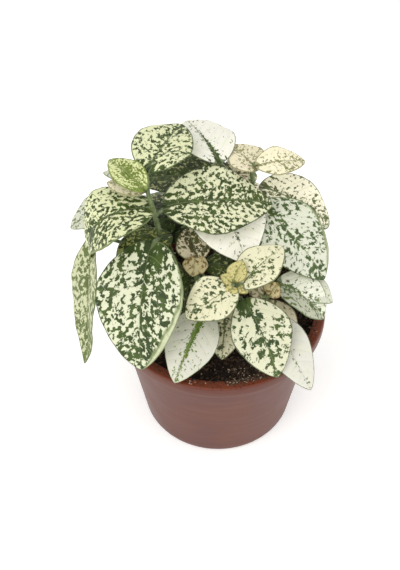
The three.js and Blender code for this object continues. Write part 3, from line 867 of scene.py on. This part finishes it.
# the upper and the under side share one pattern
def leafMaterials():
    tree = bpy.data.node_groups.new("leafPattern", "ShaderNodeTree")
    for label in ("Green", "Halo", "Vein", "Grain", "Turned"):
        tree.interface.new_socket(label, in_out="OUTPUT", socket_type="NodeSocketFloat")
    flat = attribute(tree, "flat")
    share, away, margin = split(tree, attribute(tree, "place"))
    amount, feather, patchiness = split(tree, attribute(tree, "speckle"))
    ribWidth, ribReach, edgeLine = split(tree, attribute(tree, "rib"))
    baseGreenAndShade, veins, turned = split(tree, attribute(tree, "accent"))
    blotch = cloud(tree, flat, 0.72, 3.0, 0.6, 0.2)
    patch = cloud(tree, flat, 0.1, 1, 0.5)
    fine = cloud(tree, flat, 2.2, 2, 0.6)
    fleck = minus(tree, fine, 0.5)
    level = plus(tree, times(tree, minus(tree, amount, 0.5), 0.4), 0.5)
    for part in (times(tree, feather, calc(tree, "POWER", 0.7, away)),
                 # greener near the stalk: the leaf's own green and painted shade
                 times(tree, baseGreenAndShade, smooth(tree, share, 0.26, 0.06)),
                 times(tree, minus(tree, patch, 0.5), patchiness),
                 times(tree, fleck, 0.1)):
        level = plus(tree, level, part)
    over = minus(tree, level, blotch)
    green = smooth(tree, over, -0.012, 0.016)
    ragged = plus(tree, times(tree, fleck, 2.4), times(tree, minus(tree, blotch, 0.5), 5.0))
    taper = minus(tree, 1.0, calc(tree, "DIVIDE", share, ribReach))
    band = times(tree, ribWidth, plus(tree, taper, 0.15))
    wobble = times(tree, ragged, calc(tree, "MINIMUM", ribWidth, 1.0))
    rib = smooth(tree, minus(tree, plus(tree, band, wobble), away), -0.12, 0.14)
    rib = times(tree, rib, smooth(tree, ribWidth, 0.05, 0.2))
    line = plus(tree, edgeLine, times(tree, ragged, 0.12))
    edge = smooth(tree, minus(tree, line, margin), -0.12, 0.1, 0.0, 0.85)
    green = times(tree, green, minus(tree, 1.0, turned))
    whole = calc(tree, "MAXIMUM", green, calc(tree, "MAXIMUM", rib, edge))
    vein = minus(tree, calc(tree, "FRACT", attribute(tree, "vein", "Fac")), 0.5)
    vein = smooth(tree, calc(tree, "ABSOLUTE", vein), 0.05, 0.0)
    vein = times(tree, vein, smooth(tree, margin, 0.6, 2.5))
    vein = times(tree, calc(tree, "MAXIMUM", vein, smooth(tree, away, 0.35, 0.1)), veins)
    halo = smooth(tree, over, -0.06, 0.0, 0.0, 0.4)
    addNode(tree, "NodeGroupOutput",
            {"Green": whole, "Halo": halo, "Vein": vein, "Grain": fine, "Turned": turned})

    made = []
    for name, under in (("leafUpper", False), ("leafUnder", True)):
        material, inner, shader = newMaterial(name, {
            "Specular IOR Level": 0.35,
            "Subsurface Weight": 0.12,
            "Subsurface Radius": (0.0012, 0.0014, 0.0006),
        })
        pattern = addNode(inner, "ShaderNodeGroup", node_tree=tree).outputs
        pale, dark = attribute(inner, "tonePale", "Color"), attribute(inner, "toneDark", "Color")
        if under:
            pale = mixed(inner, 0.45, pale, leafTones["underPale"])
            dark = mixed(inner, 0.6, dark, leafTones["underDark"])
        drift = cloud(inner, attribute(inner, "flat"), 0.25, 2, 0.5)
        dark = mixed(inner, smooth(inner, drift, 0.4, 0.7, 0.0, 0.35), dark, leafTones["darkDrift"])
        pale = mixed(inner, smooth(inner, drift, 0.35, 0.6, 0.12, 0.0), pale, leafTones["paleDrift"])
        colour = mixed(inner, pattern["Halo"], pale, mixed(inner, 0.5, pale, dark))
        colour = mixed(inner, pattern["Green"], colour, dark)
        turned = pattern["Turned"]
        # painted shade: a dark line in the fold of the turned margin
        creaseShade = times(inner, turned, minus(inner, 1.0, turned))
        colour = mixed(inner, times(inner, turned, 0.45), colour, leafTones["turned"])
        colour = mixed(inner, times(inner, creaseShade, 3.0), colour, leafTones["creaseShade"])
        veinTone = mixed(inner, 0.5, colour, leafTones["vein"])
        colour = mixed(inner, times(inner, pattern["Vein"], 0.6 if under else 0.35), colour, veinTone)
        rough = plus(inner, times(inner, pattern["Grain"], 0.2), 0.58 if under else 0.42)
        feed(inner, shader, {"Base Color": colour, "Roughness": rough})
        relief = plus(inner, times(inner, pattern["Grain"], 0.35),
                      times(inner, pattern["Vein"], 0.8 if under else -0.8))
        relief = minus(inner, relief, times(inner, pattern["Green"], 0.12))
        bump(inner, shader, relief, 0.55, 0.00025)
        made.append(material)
    return made


# the upper and the under side of a blade as grids of points, its normals, and where each point lies on it
def bladeGrids(leaf, quilt, turn):
    foot, tip, width, _, _, fold, _, _ = leaf
    fold = math.radians(fold)
    rows = max(16, int(np.linalg.norm(np.subtract(tip, foot)) * foliage["rowsPerMillimetre"]))
    t = 0.5 - 0.5 * np.cos(np.pi * np.linspace(0, 1, rows + 1))
    point, ahead, side, normal, length = spine(leaf, t)
    t = t[:, None]
    half = foliage["columns"]
    v = np.array([-c for c in half[:0:-1]] + list(half))[None, :]
    a = np.abs(v)
    left = np.where(v > 0, 0, 1)
    wide = np.maximum(width / 2 * np.maximum(outline(t), 0.0), foliage["tipHalfWidth"])
    narrow = np.minimum(1, 2 * wide / width)
    signed = v * wide
    across = a * wide  # millimetres from the midrib
    edge = np.minimum((1 - a) * wide, np.minimum(t, 1 - t) * length + 0.05)  # and from the margin

    phase = 2 * np.pi * (foliage["wavesAlong"] * t + turn) + foliage["waveShift"] * left
    wave = foliage["marginWave"] * width * np.sin(phase) * a ** 2 * narrow
    wave += foliage["smallWave"] * width * np.sin(4.3 * phase + 1.1) * a ** 4 * narrow
    lobe = foliage["baseLobe"] * length * np.maximum(0, 1 - t / foliage["lobeReach"]) ** 2
    along = t * length - foliage["veinLean"] * across - foliage["veinCurve"] * across ** 2
    vein = along * foliage["veinPairs"] / length + foliage["veinStagger"] * left
    rise = a * wide * math.sin(fold) - a ** 2 * wide / (width / 2) + wave
    inside = np.clip(edge / 3, 0, 1) * np.clip(across / 2, 0, 1)
    rise -= quilt * np.cos(2 * np.pi * (vein - 0.5)) * inside
    rise -= foliage["midribChannel"] * np.exp(-(across / foliage["channelWidth"]) ** 2) * narrow
    middle = (point[:, None, :] + side[None, None, :] * (signed * math.cos(fold))[..., None]
              + normal[:, None, :] * rise[..., None] - ahead[:, None, :] * (lobe * a)[..., None])
    facing = unit(np.cross(np.gradient(middle, axis=0), np.gradient(middle, axis=1)))
    facing = np.where((facing * normal[:, None, :]).sum(-1, keepdims=True) < 0, -facing, facing)

    depth = foliage["thickness"] / 2 * np.clip(edge / foliage["roundedEdge"], 0, 1) ** 0.5
    ridge = foliage["midribRidge"] * (1 - 0.75 * t) * np.exp(-(across / foliage["ridgeWidth"]) ** 2) * narrow
    depth[0, :] = depth[-1, :] = depth[:, 0] = depth[:, -1] = 0
    ridge[0, :] = ridge[-1, :] = 0
    top = middle + facing * depth[..., None]
    under = middle - facing * (depth + ridge * np.clip(edge / 0.4, 0, 1))[..., None]
    return top, under, normal, (t, t * length, signed, edge, vein)


# a row for each point of a closed blade: the upper grid, then the under one without its rim
def closedRows(upper, lower):
    size = upper.shape[-1]
    return np.concatenate([upper.reshape(-1, size), lower[1:-1, 1:-1].reshape(-1, size)])


def closedBlade(name, top, under, normal, looks):
    n, m = top.shape[:2]
    index = np.arange(n * m).reshape(n, m)
    low = index.copy()
    low[1:-1, 1:-1] = n * m + np.arange((n - 2) * (m - 2)).reshape(n - 2, m - 2)
    corners = [grid[i:n - 1 + i or None, j:m - 1 + j or None] for grid in (index, low) for i, j in
               ((0, 0), (0, 1), (1, 1), (1, 0))]
    upper = np.stack(corners[:4], -1).reshape(-1, 4)
    lower = np.stack(corners[4:], -1).reshape(-1, 4)[:, ::-1]
    corner = top[2, m // 2]
    if np.cross(top[2, m // 2 + 1] - corner, top[3, m // 2] - corner).dot(normal[2]) <= 0:
        upper, lower = upper[:, ::-1], lower[:, ::-1]
    piece = newObject(name, closedRows(top, under) * mm, np.concatenate([upper, lower]).tolist(), looks)
    piece.data.polygons.foreach_set("material_index", [0] * len(upper) + [1] * len(lower))
    return piece


# what the leaf materials read at each point
def bladeFields(tone, seed, t, along, signed, edge, vein):
    def stacked(*parts):
        return np.stack(np.broadcast_arrays(edge, *parts)[1:], -1)

    across = np.abs(signed)
    # painted shade on one half of the blade, which is also given more green
    shade = np.clip(signed * np.sign(tone["shadedHalf"]) / 0.8 - 0.6, 0, 1) * abs(tone["shadedHalf"])
    turned = np.clip((tone["rim"] * np.sin(np.pi * t ** 2.2) - edge) / 0.8 + 0.5, 0, 1)
    turned = np.where(signed < 0, turned, 0) * min(1, 2 * tone["rim"])
    pale = np.array(linear(tone["pale"]))
    shadedPale = pale * (*foliage["shadeTint"], 1)
    drawn = along - foliage["blotchLean"] * across
    layer = seed * foliage["patternStep"]
    return {
        "flat": stacked(drawn, signed * foliage["blotchWidth"], layer) * tone["grain"],
        "place": stacked(t, across, edge),
        "vein": stacked(vein),
        "speckle": stacked(tone["share"] + 0.25 * shade, tone["feather"], tone["patch"]),
        "rib": stacked(tone["rib"], tone["ribReach"], tone["edge"]),
        "accent": stacked(tone["baseGreenAndShade"], tone["veins"], turned),
        "tonePale": pale + (shadedPale - pale) * stacked(shade),
        "toneDark": stacked(*linear(tone["dark"])),
    }


def leafPiece(name, leaf, turn, seed, looks):
    tone = dict(leafBase, **leafLooks[leaf[-1]])
    top, under, normal, places = bladeGrids(leaf, tone["quilt"], turn)
    piece = closedBlade(name, top, under, normal, looks)
    for label, field in bladeFields(tone, seed, *places).items():
        setAttribute(piece.data, label, closedRows(field, field))
    return piece


# points of a smooth curve through the path
def curvePoints(path, steps):
    p = [np.array(q, float) for q in path]
    p = [2 * p[0] - p[1]] + p + [2 * p[-1] - p[-2]]
    points = []
    for k in range(1, len(p) - 2):
        for s in range(steps):
            u = s / steps
            points.append(0.5 * (2 * p[k] + (p[k + 1] - p[k - 1]) * u
                                 + (2 * p[k - 1] - 5 * p[k] + 4 * p[k + 1] - p[k + 2]) * u ** 2
                                 + (3 * p[k] - p[k - 1] - 3 * p[k + 1] + p[k + 2]) * u ** 3))
    points.append(p[-2])
    return np.array(points)


# points and radii of a leaf stalk, from the stem to under the blade
def stalkLine(leaf, stem):
    point, ahead, *_ = spine(leaf, 0.0)
    foot = point[0]
    gap = np.hypot(stem[:, 0] - foot[0], stem[:, 1] - foot[1])
    joint = stem[np.argmin(np.abs(foot[2] - 0.55 * gap - stem[:, 2]))]
    bend = foot - foliage["stalkBend"] * np.linalg.norm(foot - joint) * ahead[0]
    young = leaf[2] <= foliage["youngWidth"]
    radius = foliage["youngStalkRadius" if young else "stalkRadius"]

    def below(t, size):
        at, _, _, up, _ = spine(leaf, t)
        return at[0] - up[0] * (size + 0.12)

    start = below(0.02, radius)
    points = [(1 - u) ** 2 * joint + 2 * u * (1 - u) * bend + u * u * start for u in np.linspace(0, 1, 11)]
    radii = list(radius * np.linspace(1.25, 0.92, 11))
    for t in (0.06, 0.1, 0.15):
        size = radius * (0.85 - 3.4 * t)
        points.append(below(t, size))
        radii.append(size)
    return points, radii


# a round skin along each line, and fine hairs all over it
def stemTree(look, hairLook):
    tree, given, ids = geometryTree("hairyStem", {
        "Sides": 12,
        "Hair length": 0.001,
        "Hair radius": 0.00003,
        "Hair density": 1000.0,
        "Seed": 1,
    })
    line = geometry(tree, "MeshToCurve", {"Mesh": given["Geometry"]})
    thick = geometry(tree, "InputNamedAttribute", {"Name": "thickness"}, data_type="FLOAT")
    sized = geometry(tree, "SetCurveRadius", {"Curve": line, "Radius": thick})
    ring = geometry(tree, "CurvePrimitiveCircle", {"Resolution": given["Sides"], "Radius": 1.0})
    skin = geometry(tree, "CurveToMesh", {
        "Curve": sized, "Profile Curve": ring, "Scale": geometry(tree, "InputRadius"), "Fill Caps": True})
    rounded = geometry(tree, "SetShadeSmooth", {"Geometry": skin})
    spread = geometry(tree, "DistributePointsOnFaces", {
        "Mesh": skin, "Density": given["Hair density"], "Seed": given["Seed"]})
    hair = geometry(tree, "MeshCone", {
        "Vertices": 3, "Radius Top": 0.0, "Radius Bottom": given["Hair radius"],
        "Depth": given["Hair length"]})
    lean = randomVector(tree, (-0.5, -0.5, -0.5), (0.5, 0.5, 0.5), given["Seed"])
    feeds = {0: spread.node.outputs["Normal"], 1: lean}
    tilted = addNode(tree, "ShaderNodeVectorMath", feeds, operation="ADD")
    turned = addNode(tree, "FunctionNodeAlignRotationToVector", {"Vector": tilted.outputs[0]}, axis="Z")
    size = addNode(tree, "FunctionNodeRandomValue", {2: 0.4, 3: 1.0}, data_type="FLOAT")
    hairs = geometry(tree, "InstanceOnPoints", {
        "Points": spread, "Instance": hair, "Rotation": turned.outputs[0], "Scale": size.outputs[1]})
    parts = finished(tree, rounded, look), finished(tree, hairs, hairLook)
    addNode(tree, "NodeGroupOutput", {0: joined(tree, parts)})
    return tree, ids


stemTones = {
    "dark": (70, 86, 46),
    "light": (102, 116, 72),
    "streak": (148, 160, 112),
    "woody": (104, 84, 58),       # near the soil
    "hairDark": (206, 212, 184),
    "hairLight": (240, 240, 226),
}


def stemMaterial():
    material, tree, shader = newMaterial("greenStem", {
        "Roughness": 0.5,
        "Subsurface Weight": 0.15,
        "Subsurface Radius": (0.001, 0.0012, 0.0005),
    })
    place = objectPlace(tree)
    height = split(tree, place)[2]
    clouds = cloud(tree, place, 90, 3, 0.6)
    streaks = cloud(tree, objectPlace(tree, (1, 1, 0.2)), 900, 3, 0.6)
    colour = mixed(tree, smooth(tree, clouds, 0.35, 0.65), stemTones["dark"], stemTones["light"])
    colour = mixed(tree, smooth(tree, streaks, 0.4, 0.7, 0.0, 0.5), colour, stemTones["streak"])
    colour = mixed(tree, smooth(tree, height, 82 * mm, 64 * mm, 0.0, 0.75), colour, stemTones["woody"])
    feed(tree, shader, {"Base Color": colour})
    bump(tree, shader, streaks, 0.4, 0.0002)
    return material


def hairMaterial():
    material, tree, shader = newMaterial("stemHair", {"Roughness": 0.6})
    shade = cloud(tree, objectPlace(tree), 700, 1, 0.5)
    colour = mixed(tree, shade, stemTones["hairDark"], stemTones["hairLight"])
    feed(tree, shader, {"Base Color": colour})
    return material


def makeStem(node, path, leaves, tree, ids, number):
    curve = curvePoints(path, 16)
    stem = curvePoints(path, 6)
    line = [stem[0] - np.array((0, 0, foliage["rootDepth"]))] + list(stem)
    thick, thin = foliage["stemRadius"], foliage["stemTipRadius"]
    radii = [thick] + list(thick + (thin - thick) * np.linspace(0, 1, len(stem)))
    # some rings are thicker, as at a leaf scar
    radii = [r * (1 + foliage["scarSwell"] * (math.sin(2.3 * k) > 0.8)) for k, r in enumerate(radii)]
    lines = [(line, radii)] + [stalkLine(leaf, curve) for leaf in leaves]
    points, edges, sizes = [], [], []
    for where, size in lines:
        first = len(points)
        points += [np.asarray(q) * mm for q in where]
        sizes += [s * mm for s in size]
        edges += [(first + k, first + k + 1) for k in range(len(where) - 1)]
    source = newObject(node + "Lines", points, [], edges=edges)
    setAttribute(source.data, "thickness", sizes)
    piece = grown(source, tree, ids, {
        "Sides": foliage["stemSides"],
        "Hair length": foliage["hairLength"],
        "Hair radius": foliage["hairRadius"],
        "Hair density": foliage["hairDensity"],
        "Seed": foliage["hairSeed"] + number,
    }, node + "Stalks")
    settle(piece, node)


leafSides = leafMaterials()
skinTree, skinIds = stemTree(stemMaterial(), hairMaterial())
for number, (node, (path, *leaves)) in enumerate(stems.items()):
    makeStem(node, path, leaves, skinTree, skinIds, number)
    for i, leaf in enumerate(leaves):
        turn = (foliage["waveTurn"] * (i + 3 * number)) % 1
        seed = 1 + i + foliage["stemSeed"] * number
        blade = leafPiece(f"{node}Leaf{i + 1}", leaf, turn, seed, leafSides)
        settle(blade, node)
    print(node, "ready")
